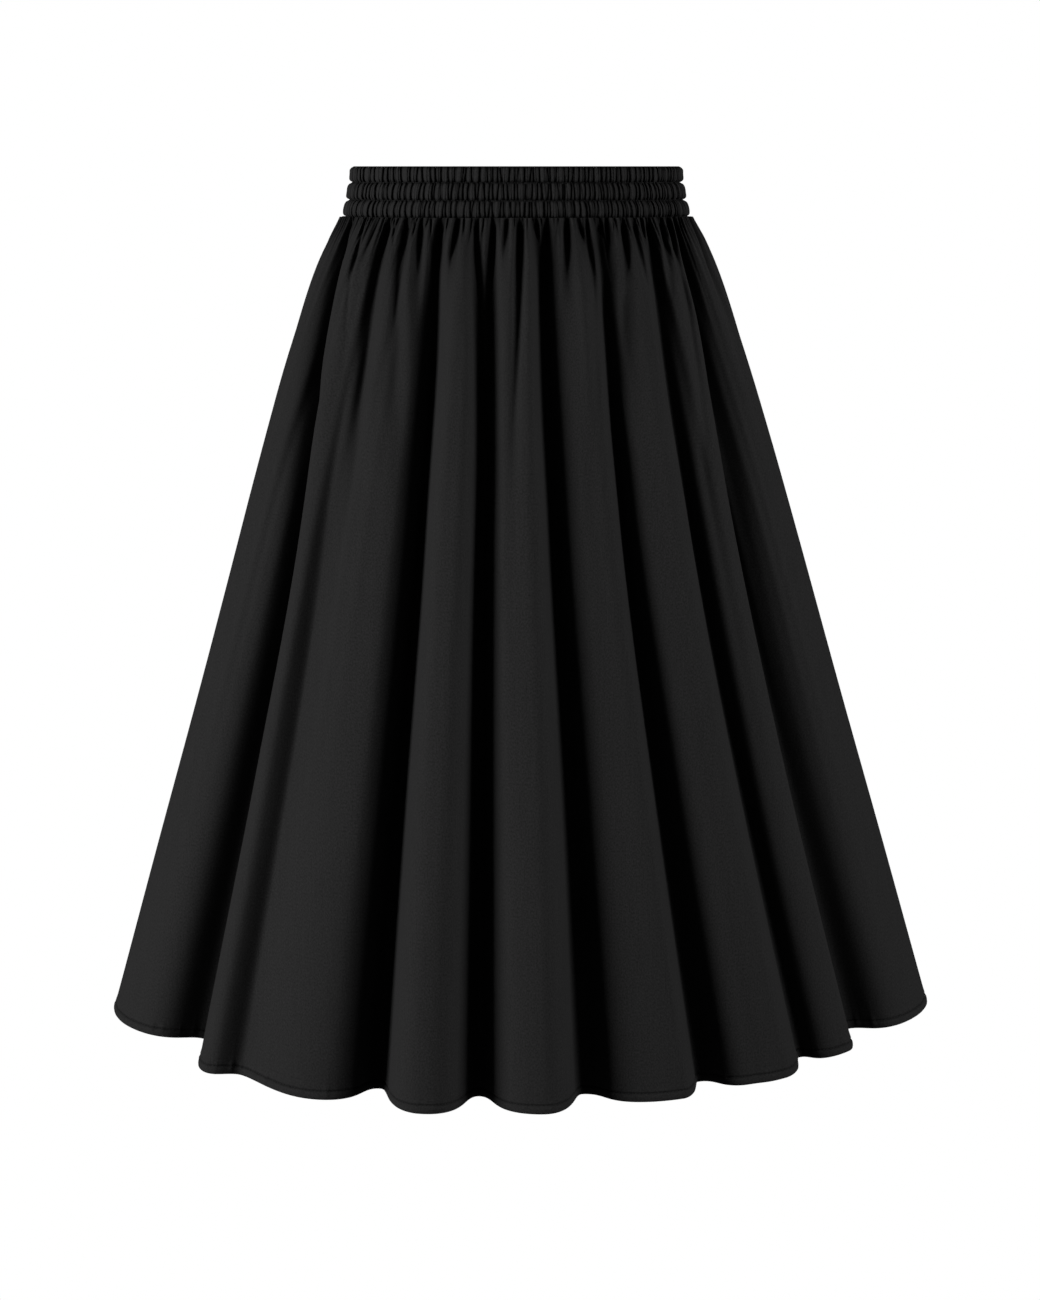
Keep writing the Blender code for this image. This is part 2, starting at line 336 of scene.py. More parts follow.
def band_surface():
    """The ring's section, carried round an ellipse: down the ribbed outside, under the
    foot, up the inside and over the folded top. The ribs' creases, the grooves of the
    stitching and the bow of each channel push its points level, in or out. With the points
    come their places on the cloth, and how much shade is painted into the colour there, from
    nought to one, for how far the outside sinks."""
    turn = even_turns(MIDDLE_HALF_WIDTH, MIDDLE_HALF_WIDTH * BAND_DEPTH_SHARE, BAND_COLUMNS)
    around = np.arange(BAND_COLUMNS) / BAND_COLUMNS
    sink = {}
    for side, drops in (("outer", OUTER_DROPS), ("inner", INNER_DROPS)):
        amount = np.zeros((len(drops), BAND_COLUMNS))
        for channel in range(3):
            top, foot = CHANNEL_SEAMS[channel:channel + 2]
            last = drops <= foot if channel == 2 else drops < foot
            rows = np.where((drops >= top) & last)[0]
            level = (drops[rows] - top) / (foot - top)
            amount[rows] = creases(around, level, CHANNEL_RIBS[channel],
                                   CREASE_SEED + channel, CREASE_DEPTH, CREASE_WIDTH,
                                   RIB_BOW)
            if side == "outer":
                finer = int(CHANNEL_RIBS[channel] * FINE_CREASE_RATIO)
                amount[rows] += creases(around, level, finer, FINE_CREASE_SEED + channel,
                                        FINE_CREASE_DEPTH, FINE_CREASE_WIDTH, 0.0)
        sink[side] = np.minimum(amount, CREASE_LIMIT)
    groove = sum(np.exp(-((OUTER_DROPS - seam) / GROOVE_WIDTH) ** 2)
                 for seam in CHANNEL_SEAMS[1:])
    rounded = TOP_ROUNDING * np.clip(1 - OUTER_DROPS / TOP_ROUNDED_DROP, 0, 1) ** 2
    pushed_in = np.minimum(sink["outer"] + (groove * SEAM_GROOVE + rounded)[:, None],
                           SINK_LIMIT)
    out_width = through(OUTER_DROPS, BAND_DROPS, BAND_HALF_WIDTHS)
    in_width = through(INNER_DROPS, BAND_DROPS, BAND_HALF_WIDTHS) - BAND_THICK
    in_width[-1] += INNER_LIP
    in_depth = in_width * BAND_DEPTH_SHARE - BAND_THICK * (1 - BAND_DEPTH_SHARE)
    drop = np.concatenate([OUTER_DROPS, INNER_DROPS])
    push = np.concatenate([pushed_in, -INNER_SWELL * sink["inner"]])
    width = np.concatenate([out_width, in_width])[:, None]
    depth = np.concatenate([out_width * BAND_DEPTH_SHARE, in_depth])[:, None]
    bearing = np.arctan2(np.sin(turn) / width, np.cos(turn) / depth)
    bearing = bearing - CREASE_TURN * np.sin(2 * bearing)
    z = (BAND_TOP - drop)[:, None] + 0.0 * turn
    points = np.stack([width * np.sin(turn) - push * np.sin(bearing),
                       -depth * np.cos(turn) + push * np.cos(bearing), z], axis=-1)
    climb = np.cumsum(np.abs(np.diff(INNER_DROPS, prepend=BAND_HEIGHT + FOOT_TURN)))
    girth = np.concatenate([OUTER_DROPS, BAND_HEIGHT + climb])
    uv = np.stack(np.broadcast_arrays(around[None, :] * WAIST_ROUND, -girth[:, None]),
                  axis=-1)
    # Painted shade: the outside darkens with how far its creases and grooves sink
    shade = np.zeros(points.shape[:2])
    shade[:len(OUTER_DROPS)] = np.clip((pushed_in - SHADE_START) / SHADE_SPAN, 0, 1)
    return points, uv, shade


band_points, band_uv, band_painted_shade = band_surface()
band = ring_mesh("band_cloth", band_points, band_uv)
# The band's colour carries shade painted into its creases and grooves
paint_crease_shade(band, band_painted_shade)
band.data.materials.append(band_cotton)
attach(band, "root")
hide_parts("waistband")


# The channels are parted by two rows of lockstitch in black thread, through cloth and
# elastic, each sunk into the groove it pulls. The row that joins the band to the panels is
# out of sight in the fold below it.

# How far the thread lies off the smoothed cloth, and how many points to either side of it
# the smoothing takes in
STITCH_LIFT = 0.0001
BRIDGED = 4


def thread_material():
    """Black thread: its plies show as a fine noise in the colour and the roughness."""
    material = bpy.data.materials.new("black_thread")
    material.use_nodes = True
    nodes = material.node_tree.nodes
    links = material.node_tree.links
    shader = nodes["Principled BSDF"]
    shader.inputs["Specular IOR Level"].default_value = 0.25
    place = nodes.new("ShaderNodeTexCoord")
    ply = nodes.new("ShaderNodeTexNoise")
    ply.inputs["Scale"].default_value = 2600.0
    ramp = nodes.new("ShaderNodeValToRGB")
    ramp.color_ramp.elements[0].color = (0.010, 0.010, 0.010, 1.0)
    ramp.color_ramp.elements[1].color = (0.026, 0.026, 0.026, 1.0)
    rough = nodes.new("ShaderNodeMapRange")
    rough.inputs["To Min"].default_value = 0.55
    rough.inputs["To Max"].default_value = 0.75
    links.new(place.outputs["Object"], ply.inputs["Vector"])
    links.new(ply.outputs["Fac"], ramp.inputs["Fac"])
    links.new(ramp.outputs["Color"], shader.inputs["Base Color"])
    links.new(ply.outputs["Fac"], rough.inputs["Value"])
    links.new(rough.outputs["Result"], shader.inputs["Roughness"])
    return material


black_thread = thread_material()


def distance_along(points):
    """The length of a path up to each of its points, summed from its steps."""
    return np.concatenate([[0.0], np.cumsum(np.linalg.norm(np.diff(points, axis=0),
                                                           axis=1))])


def stitches(name, paths, pitch, length, radius):
    """Short rounded threads in a row along each path. Paths are pairs of arrays, points and
    outward directions. Each thread is four rings of five points: its ends dive under the
    cloth and its middle lies most of a radius above it."""
    share = np.array([0.0, 0.22, 0.78, 1.0])
    swell = np.array([0.35, 1.0, 1.0, 0.35])
    lift = np.array([-0.5, 0.8, 0.8, -0.5]) * radius
    corners = 5
    each = len(share) * corners
    around = np.arange(corners) / corners * 2 * math.pi
    all_points = []
    all_faces = []
    used = 0
    for points, outward in paths:
        arc = distance_along(points)
        count = int(arc[-1] / pitch)
        start = (np.arange(count) + 0.1) * arc[-1] / count
        at = start[:, None] + share * length
        centre = np.stack([np.interp(at, arc, points[:, k]) for k in range(3)], axis=-1)
        out = np.stack([np.interp(at, arc, outward[:, k]) for k in range(3)], axis=-1)
        out /= np.linalg.norm(out, axis=-1, keepdims=True)
        run = centre[:, -1:] - centre[:, :1]
        run = run / np.linalg.norm(run, axis=-1, keepdims=True)
        across = np.cross(np.broadcast_to(run, out.shape), out)
        across /= np.linalg.norm(across, axis=-1, keepdims=True)
        centre = centre + out * lift[None, :, None]
        ring = (np.cos(around)[:, None] * across[:, :, None, :]
                + np.sin(around)[:, None] * out[:, :, None, :])
        body = centre[:, :, None, :] + ring * (swell * radius)[None, :, None, None]
        base = used + np.arange(count)[:, None, None] * each
        i = np.arange(len(share) - 1)[:, None] * corners
        j = np.arange(corners)
        k = (j + 1) % corners
        sides = np.stack([i + j, i + k, i + corners + k, i + corners + j], axis=-1)
        all_faces.extend((base + sides.reshape(1, -1, 4)).reshape(-1, 4).tolist())
        near = base[:, 0] + j[::-1]
        far = base[:, 0] + each - corners + j
        all_faces.extend(near.tolist())
        all_faces.extend(far.tolist())
        all_points.append(body.reshape(-1, 3))
        used += count * each
    mesh = bpy.data.meshes.new(name)
    mesh.from_pydata(np.concatenate(all_points).tolist(), [], all_faces)
    mesh.shade_smooth()
    mesh.materials.append(black_thread)
    return placed(name, mesh)


def ring_path(row):
    """A row of the band's outside as a closed path, each point the mean of its neighbours
    so that the thread bridges the creases, with the ellipse's level directions out."""
    points = band_points[row]
    smooth = sum(np.roll(points, k, axis=0)
                 for k in range(-BRIDGED, BRIDGED + 1)) / (2 * BRIDGED + 1)
    out = smooth * [1.0, 1 / BAND_DEPTH_SHARE**2, 0.0]
    out /= np.linalg.norm(out, axis=-1, keepdims=True)
    closed = np.concatenate([smooth, smooth[:1]])
    closed_out = np.concatenate([out, out[:1]])
    return closed + closed_out * STITCH_LIFT, closed_out


seam_rows = [int(np.argmin(np.abs(OUTER_DROPS - seam))) for seam in CHANNEL_SEAMS[1:3]]
band_stitching = stitches("band_stitching", [ring_path(row) for row in seam_rows],
                          pitch=0.0027, length=0.0021, radius=0.00020)
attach(band_stitching, "root")


# The two skirt panels are flared lengths of the same cotton, gathered into the band. Their
# fullness breaks at the band into small puckers, runs down as creases that die away, and
# opens into deep round flutes with dark valleys between them.
SIDE_DROP = 0.714
CENTRE_DROP = 0.746
FALL_LENGTH = SIDE_DROP - BAND_HEIGHT
# How far the hem swings to the wearer's left
SWAY = 0.0027
# Where the hem hangs lower: angle from the front, spread in degrees, millimetres
HEM_DIPS = ((0.0, 120.0, 1.6), (-31.0, 7.5, 2.6), (-50.0, 4.5, 3.2), (40.0, 25.0, 0.9),
            (-75.0, 12.0, 2.0))
# The cloth's thickness, and the shares by which the wall is thicker in the turned-up hem
# and in the gathers just under the band
CLOTH = 0.0010
HEM_EXTRA = 1.1
GATHERS_EXTRA = 1.4
GATHERS_FALL = 0.06
# Clearance below the band and between the panels, and the width beside a side seam over
# which small relief dies away
SEAM_GAP = 0.00006
SEAM_FLAT = 0.010
# Folds sink square to the oval, turned toward the front or the back by up to the first
# angle, and by the second as well on the front's flanks, which start and end at these
# bearings, each with the span over which it does so, in radians
VALLEY_TURN = math.radians(28)
FLANK_TURN = math.radians(11)
FLANK_START = (0.70, 0.35)
FLANK_END = (1.25, 0.30)
# The cloth puffs out below the band: how far, and the shares of the fall at which it is
# full and by which it dies away
PUFF_OUT = 0.0014
PUFF_FULL = 0.03
PUFF_REACH = 0.15

# Drop at the sides, half width, depth in front, depth behind
SKIRT_DROPS = (0.0425, 0.0868, 0.1547, 0.2231, 0.2918, 0.4306, 0.5712, 0.7140)
SKIRT_HALF_WIDTHS = (0.1475, 0.1690, 0.1926, 0.2136, 0.2336, 0.2737, 0.3151, 0.3560)
SKIRT_FRONT_DEPTHS = (0.1040, 0.1285, 0.1560, 0.1790, 0.2000, 0.2360, 0.2680, 0.2860)
SKIRT_BACK_DEPTHS = (0.1040, 0.1330, 0.1640, 0.1880, 0.2080, 0.2430, 0.2730, 0.3050)

# One row per valley, from the wearer's right of the front round by the left and the back:
# its angles in degrees from the front at five shares of the fall; its depth at the hem in
# millimetres; of the flute that follows it, where its crest stands between the two valleys
# and how many millimetres it is set back; and the depth and half width in millimetres of
# the crease that leads into the valley from the band.
ANGLE_FALLS = (0.00, 0.12, 0.35, 0.65, 1.00)
FLUTES = np.array([
    (-70.5, -63.2, -53.0, -50.8, -50.7, 64, 0.53, -15, 16.0, 7.2),
    (-45.7, -43.1, -41.6, -40.1, -39.7, 3, 0.47, -8, 0.0, 4.8),
    (-24.9, -21.4, -19.6, -19.2, -18.7, 50, 0.41, -13, 13.0, 6.2),
    (-10.0, -8.5, -7.3, -6.1, -5.3, 51, 0.62, -2, 0.0, 3.8),
    (9.5, 7.1, 7.2, 7.9, 8.3, 55, 0.83, 11, 13.0, 6.6),
    (27.0, 23.4, 21.6, 22.8, 24.6, 54, 0.74, 9, 13.0, 6.8),
    (47.7, 41.6, 39.4, 40.3, 42.4, 50, 0.76, 18, 13.0, 6.2),
    (64.0, 59.9, 54.4, 53.0, 54.7, 66, 0.60, 0, 19.0, 8.0),
    (98.0, 97.6, 97.0, 96.5, 96.0, 46, 0.50, 0, 12.5, 4.6),
    (113.0, 113.2, 113.5, 113.4, 113.0, 43, 0.55, 4, 10.5, 5.0),
    (130.5, 130.7, 131.0, 130.7, 130.0, 52, 0.48, -3, 11.5, 5.4),
    (149.0, 148.4, 147.5, 147.5, 148.0, 41, 0.56, 5, 12.5, 5.8),
    (163.5, 164.3, 165.5, 165.6, 165.0, 53, 0.45, -2, 10.5, 4.6),
    (182.5, 182.9, 183.5, 183.0, 182.0, 45, 0.52, 6, 11.5, 5.0),
    (200.5, 199.9, 199.0, 199.0, 199.5, 51, 0.54, 1, 12.5, 5.4),
    (215.5, 215.9, 216.5, 216.8, 217.0, 42, 0.47, 7, 10.5, 5.8),
    (234.5, 234.1, 233.5, 233.2, 233.0, 52, 0.53, -2, 11.5, 4.6),
    (252.0, 251.4, 250.5, 250.1, 250.0, 44, 0.50, 3, 12.5, 5.0),
    (267.0, 267.0, 267.0, 266.6, 266.0, 46, 0.50, -2, 10.5, 5.4),
])
# How much of its depth at the hem a valley has at each share of the fall
GROWTH_FALLS = (0.00, 0.10, 0.30, 0.60, 1.00)
GROWTH_SHARES = (0.06, 0.30, 0.56, 0.80, 1.00)
# How far a flute's places bunch toward its sides: at the band, how much more from a share
# of the fall on, and a second harmonic there. Flutes as deep as the last value bunch fully.
BUNCH_START = 0.06
BUNCH_GROWTH = 0.16
BUNCH_SECOND = 0.05
BUNCH_FALL = 0.35
FULL_FLUTE = 0.045

# Creases between the valleys that start at the band and die away: angle at the band, angle
# at 0.3 of the fall, depth and half width in millimetres, share of the fall over which they
# fade. The creases that lead into valleys all fade over the same share.
CREASE_LOWER_FALL = 0.3
LEAD_REACH = 0.40
CREASES = np.array([
    (-84.0, -78.0, 4.0, 2.4, 0.10), (-66.1, -52.1, 2.6, 1.7, 0.03),
    (-57.5, -38.0, 5.5, 2.4, 0.09), (-51.5, -43.0, 3.0, 3.8, 0.05),
    (-45.2, -36.2, 14.5, 5.8, 0.30), (-43.0, -11.6, 2.6, 1.7, 0.03),
    (-37.1, -25.6, 13.0, 5.6, 0.18), (-34.5, -15.1, 2.4, 1.6, 0.03),
    (-31.9, -18.9, 12.5, 5.2, 0.09), (-28.6, -6.3, 2.4, 1.6, 0.03),
    (-22.4, -18.9, 3.0, 1.8, 0.03), (-19.1, -17.1, 10.0, 4.8, 0.07),
    (-19.1, -17.0, 2.8, 5.6, 0.15), (-16.8, -4.6, 2.4, 1.6, 0.03),
    (-12.8, -6.6, 12.5, 4.3, 0.36), (-7.2, -5.0, 13.5, 4.1, 0.40),
    (-3.1, -4.0, 6.5, 4.0, 0.045), (1.3, -0.9, 15.5, 4.7, 0.24),
    (3.4, 2.6, 2.4, 1.6, 0.03), (5.9, 9.4, 12.0, 5.0, 0.15),
    (13.2, 0.9, 2.4, 1.6, 0.03), (16.2, 7.0, 11.0, 5.0, 0.08),
    (16.2, 11.0, 2.6, 5.6, 0.14), (20.3, 21.4, 11.0, 4.0, 0.06),
    (23.1, 16.5, 12.5, 3.7, 0.20), (30.0, 19.4, 9.5, 3.4, 0.05),
    (32.7, 10.4, 2.4, 1.6, 0.03), (36.5, 20.4, 13.0, 5.8, 0.12),
    (40.6, 31.2, 10.0, 3.9, 0.055), (44.3, 34.3, 10.0, 3.4, 0.065),
    (54.6, 30.9, 9.5, 3.6, 0.055), (58.2, 46.0, 12.5, 4.2, 0.20),
    (79.5, 74.0, 12.0, 4.8, 0.11),
    (84.0, 82.0, 4.8, 3.2, 0.13), (90.5, 89.5, 3.4, 2.5, 0.07),
    (103.6, 105.5, 5.8, 3.0, 0.12), (108.2, 108.5, 3.2, 2.1, 0.05),
    (119.5, 121.5, 7.5, 3.4, 0.14), (125.0, 124.5, 3.4, 2.1, 0.05),
    (136.6, 138.5, 6.3, 3.2, 0.20), (142.0, 141.5, 3.7, 2.3, 0.05),
    (153.8, 156.5, 6.9, 3.2, 0.12), (159.5, 160.0, 3.4, 2.1, 0.05),
    (171.2, 173.5, 7.5, 3.2, 0.22), (177.4, 177.8, 3.7, 2.3, 0.06),
    (188.6, 190.5, 5.8, 3.0, 0.13), (194.4, 194.0, 3.4, 2.1, 0.05),
    (206.2, 208.0, 8.0, 3.7, 0.16), (211.4, 211.8, 3.2, 2.1, 0.05),
    (222.2, 224.5, 6.3, 3.0, 0.20), (228.2, 228.0, 3.7, 2.1, 0.06),
    (240.4, 242.0, 7.5, 3.4, 0.13), (246.4, 246.0, 3.4, 2.1, 0.05),
    (257.4, 259.0, 5.8, 3.0, 0.16), (262.4, 262.6, 3.4, 2.3, 0.06),
    (273.0, 275.0, 5.3, 3.2, 0.12),
])
# Small creases crowd under the band's seam between the ones above: how many round the
# skirt, the least and greatest depth, half width and reach, how unevenly they stand, and
# the degrees that one leans, times a draw of up to 0.4 either way
TICKS = 190
TICK_DEPTHS = (1.6, 3.0)
TICK_WIDTHS = (1.4, 2.1)
TICK_REACHES = (0.018, 0.060)
TICK_JITTER = 0.8
TICK_LEAN = 14
TICK_SEED = 3

# How deep a crease can be right at the band's seam, and the height over which it opens
SEAM_SINK = 0.0038
SEAM_OPENING = 0.011
# Shade is painted into the colour of the creases near the seam, down to about this far below
# it, and fully in a crease that is this many millimetres deep
SHADE_REACH = 0.034
SHADE_DEPTH = 2.6

# Long soft troughs down the broad flutes: angle where they start and at the hem, depth and
# half width in millimetres, and the share of the fall at which they start
TROUGHS = ((-42.5, -39.6, 3.2, 17.0, 0.22), (31.0, 33.0, 2.0, 10.0, 0.30),
           (122.0, 123.0, 5.0, 13.0, 0.25), (158.0, 156.5, 3.0, 10.0, 0.40),
           (191.0, 193.0, 5.5, 14.0, 0.20), (225.0, 223.5, 3.0, 11.0, 0.35),
           (243.0, 242.0, 4.5, 12.0, 0.28))


def smooth_step(value):
    """Nought below nought, one above one, and three squares less two cubes between."""
    t = np.clip(value, 0.0, 1.0)
    return t * t * (3 - 2 * t)


def turned_from(angle, line):
    """The angle from a line, between half a turn either way."""
    return (angle - line + math.pi) % (2 * math.pi) - math.pi


def flute_columns(flutes, total):
    """Which flute each column of a panel lies in and how far across it, from 0 at its first
    valley to 1 at its second. Wider flutes get more columns, and the panel ends on the
    last valley."""
    count = len(FLUTES)
    following = [(k + 1) % count for k in flutes]
    spread = np.zeros(len(flutes))
    for column in (0, 4):
        widths = np.array([(FLUTES[n, column] - FLUTES[k, column]) % 360
                           for k, n in zip(flutes, following)])
        spread += widths / widths.sum() / 2
    shares = 2 * np.round(spread * total / 2).astype(int)
    shares[-1] += total - shares.sum()
    flute = np.concatenate([np.full(n, k) for k, n in zip(flutes, shares)] + [[flutes[-1]]])
    across = np.concatenate([np.arange(n) / n for n in shares] + [[1.0]])
    return flute, across


def skirt_surface(flute, across, fall):
    """The outside of the cloth, one row per share of the fall and one column per place
    across a flute, the angle of each point from the front, how much shade is painted into its
    colour for lying in a crease near the band's seam, from nought to one, and the level way
    out against which it sinks.

    A flute's places bunch toward its sides, so that its walls run nearly straight in, and
    the cloth sinks from crest to valley as one minus the cosine of the way across. The
    creases sink it further: each is a bell across, the fall-off e to the minus (distance
    over width) to the 2.2, and fades downward as e to the minus (fall over reach) to the
    1.5, while it grows wider. Soft troughs are plain bells that deepen as they start. All
    sink along the normal of the plain oval, turned toward the front or the back.
    """
    count = len(FLUTES)
    down = fall[:, None]
    lines = np.stack([np.radians(through(fall, ANGLE_FALLS, row[:5]))
                      for row in FLUTES], axis=-1)
    following = (flute + 1) % count
    start = lines[:, flute]
    end = lines[:, following] + np.where(flute + 1 == count, 2 * math.pi, 0.0)
    crest = start + (end - start) * FLUTES[flute, 6]
    opening = across < 0.5
    away = np.abs(2 * across - 1)
    depth = np.where(opening, FLUTES[flute, 5], FLUTES[following, 5]) / 1000
    steep = np.clip(down / BUNCH_FALL, 0, 1)
    fullness = np.clip(depth / FULL_FLUTE, 0, 1) ** 2
    warped = (away + (BUNCH_START + BUNCH_GROWTH * steep) * fullness * np.sin(math.pi * away)
              + BUNCH_SECOND * steep * fullness * np.sin(2 * math.pi * away))
    angle = crest + np.where(opening, start - crest, end - crest) * warped
    growth = through(fall, GROWTH_FALLS, GROWTH_SHARES)[:, None]
    set_back = FLUTES[flute, 7] / 1000
    sunk = growth * (set_back * (1 + np.cos(math.pi * away)) / 2
                     + depth * (1 - np.cos(math.pi * away)) / 2)
    drop = BAND_HEIGHT + (SIDE_DROP - BAND_HEIGHT) * down
    half_width = through(drop, SKIRT_DROPS, SKIRT_HALF_WIDTHS)
    half_depth = np.where(np.cos(angle) > 0, through(drop, SKIRT_DROPS, SKIRT_FRONT_DEPTHS),
                          through(drop, SKIRT_DROPS, SKIRT_BACK_DEPTHS))
    arc_per_turn = np.hypot(half_width * np.cos(angle), half_depth * np.sin(angle))

    upper = np.clip(fall / CREASE_LOWER_FALL, 0, 1)
    slopes = [(np.radians(at_band + (lower - at_band) * upper), deep, wide, reach)
              for at_band, lower, deep, wide, reach in CREASES]
    slopes += [(lines[:, k], FLUTES[k, 8], FLUTES[k, 9], LEAD_REACH) for k in range(count)]
    rng = np.random.default_rng(TICK_SEED)
    places = (np.arange(TICKS) + rng.uniform(0.0, TICK_JITTER, TICKS)) / TICKS * 360
    for place in places:
        slant = rng.uniform(-0.4, 0.4) * TICK_LEAN * upper
        slopes.append((np.radians(place + slant), rng.uniform(*TICK_DEPTHS),
                       rng.uniform(*TICK_WIDTHS), rng.uniform(*TICK_REACHES)))
    opened = smooth_step(down * FALL_LENGTH / SEAM_OPENING)
    near_seam = np.exp(-(down * FALL_LENGTH / SHADE_REACH) ** 2)
    widening = 0.55 + 0.45 * smooth_step(down / 0.07) + 2.0 * down
    shade = np.zeros(angle.shape)
    for line, deep, wide, reach in slopes:
        off = turned_from(angle, line[:, None])
        fade = np.exp(-(down / reach) ** 1.5)
        bell = np.exp(-(np.abs(off) * arc_per_turn / (wide / 1000 * widening)) ** 2.2)
        depth_here = deep / 1000 * opened + min(deep / 1000, SEAM_SINK) * (1 - opened)
        sunk = sunk + depth_here * fade * bell
        # Painted shade in the creases just under the band's seam, fading downward
        shade = np.maximum(shade, min(deep / SHADE_DEPTH, 1.0) * fade * bell * near_seam)
    for upper_angle, lower_angle, deep, wide, first_fall in TROUGHS:
        along = np.clip((down - first_fall) / (1 - first_fall), 0, 1)
        line = np.radians(upper_angle + (lower_angle - upper_angle) * along)
        off = turned_from(angle, line)
        bell = np.exp(-(off * arc_per_turn / (wide / 1000 * (0.5 + 0.5 * along))) ** 2)
        sunk = sunk + deep / 1000 * smooth_step(along / 0.4) * bell
    sunk = sunk - PUFF_OUT * smooth_step(down / PUFF_FULL) * np.exp(
        -(down / PUFF_REACH) ** 1.5)

    bearing = np.arctan2(np.sin(angle) / half_width, np.cos(angle) / half_depth)
    flank = smooth_step((np.abs(bearing) - FLANK_START[0]) / FLANK_START[1]) * (
        1 - smooth_step((np.abs(bearing) - FLANK_END[0]) / FLANK_END[1]))
    bearing = bearing - VALLEY_TURN * np.sin(2 * bearing) - FLANK_TURN * flank * np.sign(
        bearing)
    x = half_width * np.sin(angle) - sunk * np.sin(bearing) + SWAY * down
    y = -half_depth * np.cos(angle) + sunk * np.cos(bearing)
    longer = (CENTRE_DROP - SIDE_DROP) * np.cos(angle) ** 2
    for at, spread, lower in HEM_DIPS:
        off = turned_from(angle, math.radians(at))
        longer = longer + lower / 1000 * np.exp(-(off / math.radians(spread)) ** 2)
    z = BAND_TOP - SEAM_GAP - drop - longer * down
    open_way = np.stack([np.sin(bearing), -np.cos(bearing), 0 * bearing], axis=-1)
    return np.stack([x, y, z], axis=-1), angle, shade, open_way


def outward_normals(points):
    """Unit directions out of a grid of points, from its steps along and down."""
    along = np.gradient(points, axis=1)
    down = np.gradient(points, axis=0)
    out = np.cross(down, along)
    return out / np.linalg.norm(out, axis=-1, keepdims=True)


# Height of the turned-up hem and of its stitching above the edge, also as shares of the
# fall, and how far and how high the edge is rounded
HEM_DEPTH = 0.0085
HEM_SHARE = HEM_DEPTH / FALL_LENGTH
STITCH_HEIGHT = 0.0068
STITCH_SHARE = STITCH_HEIGHT / FALL_LENGTH
EDGE_ROUNDING = 0.0008
EDGE_HEIGHT = 0.0011
# How far the hem puffs out below its stitching, the dent that the stitching pulls, and the
# shade painted into that dent
HEM_PUFF = 0.0006
DENT_DEPTH = 0.00085
DENT_WIDTH = 0.00062
DENT_PAINTED_SHADE = 0.75
# Pulls along the hem's stitching: length and share of the rise of each wave in them, then
# the rise, how far up and down it reaches, and the length over which the waves drift
PULLS = ((0.0075, 0.6), (0.0121, 0.8), (0.031, 0.7))
PULL_RISE = 0.00050
PULL_REACH = 0.0042
PULL_DRIFT = 0.11

# Puckers below the band: pitch, rise, share of the fall over which they fade, and how much
# shade is painted into the colour between them. A whole number of them fits round this length.
PUCKERS = ((0.0037, 0.00130, 0.020, 0.0), (0.0055, 0.00190, 0.038, 0.6),
           (0.0098, 0.00140, 0.090, 0.0))
PUCKER_ROUND = 0.80
# Faint drape lines: how many round the skirt, how far each stands out, and their spread
DRAPE_LINES = ((31, 0.0012), (47, 0.0011), (73, 0.0007), (109, 0.0004))
DRAPE_SPREAD = 0.42
# Waves start anywhere in a turn
ANY_PHASE = (0, 6.28)


def panel_relief(points, angle, fall, seed):
    """How far the cloth stands out from its plain form: puckers that the gathering presses
    out below the band, faint drape lines, the puffed hem, and the small pulls along its
    stitching, all of them sums of cosines; less the dent of that stitching, a bell. With
    it come the places along the hem, and how much shade is painted into the colour between
    the puckers and in the dent, from nought to one."""
    rng = np.random.default_rng(seed)
    relief = np.zeros(angle.shape)
    shade = np.zeros(angle.shape)
    turns = angle / (2 * math.pi)
    for pitch, rise, reach, dark in PUCKERS:
        number = round(PUCKER_ROUND / pitch)
        slip = 0.0
        for part in range(1, 5):
            slip = slip + rng.uniform(0.2, 0.5) / part * np.sin(
                2 * math.pi * (part * 7 * turns) + rng.uniform(*ANY_PHASE))
        crowd = 0.65 + 0.35 * np.sin(2 * math.pi * 11 * turns + rng.uniform(*ANY_PHASE))
        wave = 0.5 + 0.5 * np.cos(2 * math.pi * number * turns + 4.5 * slip)
        ridge = 1 - (1 - wave) ** 2.5
        fade = np.exp(-(fall[:, None] / reach) ** 1.2)
        relief += rise * crowd * ridge * fade
        # Painted shade in the hollows between the puckers
        shade = np.maximum(shade, dark * (1 - ridge) * crowd * fade)
    for number, rise in DRAPE_LINES:
        phase = rng.uniform(*ANY_PHASE) + rng.uniform(-3, 3) * fall[:, None]
        middle = rng.uniform(0.2, 0.5)
        relief += rise * (1 + np.cos(2 * math.pi * number * turns + phase)) / 2 * np.exp(
            -((fall[:, None] - middle) / DRAPE_SPREAD) ** 2)
    edge = (1 - fall[:, None]) * FALL_LENGTH
    stitch = STITCH_SHARE * FALL_LENGTH
    puff = np.clip(edge / stitch, 0, 1)
    relief += HEM_PUFF * np.sin(math.pi * puff) * (edge < stitch)
    arc = distance_along(points[-1])
    pulls = np.zeros(arc.shape)
    for length, rise in PULLS:
        pulls = pulls + rise * np.sin(2 * math.pi * arc / length + rng.uniform(*ANY_PHASE)
                                      + 1.5 * np.sin(2 * math.pi * arc / PULL_DRIFT))
    pulls = np.clip(pulls, 0, None)
    relief += PULL_RISE * pulls * np.exp(-((edge - stitch) / PULL_REACH) ** 2)
    dent = np.exp(-((edge - stitch) / DENT_WIDTH) ** 2)
    # Painted shade in the dent of the hem's stitching
    return relief - DENT_DEPTH * dent, arc, np.maximum(shade, DENT_PAINTED_SHADE * dent)


# Edges between faces that meet at more than this stay crisp
SHARP_ANGLE = math.radians(62)


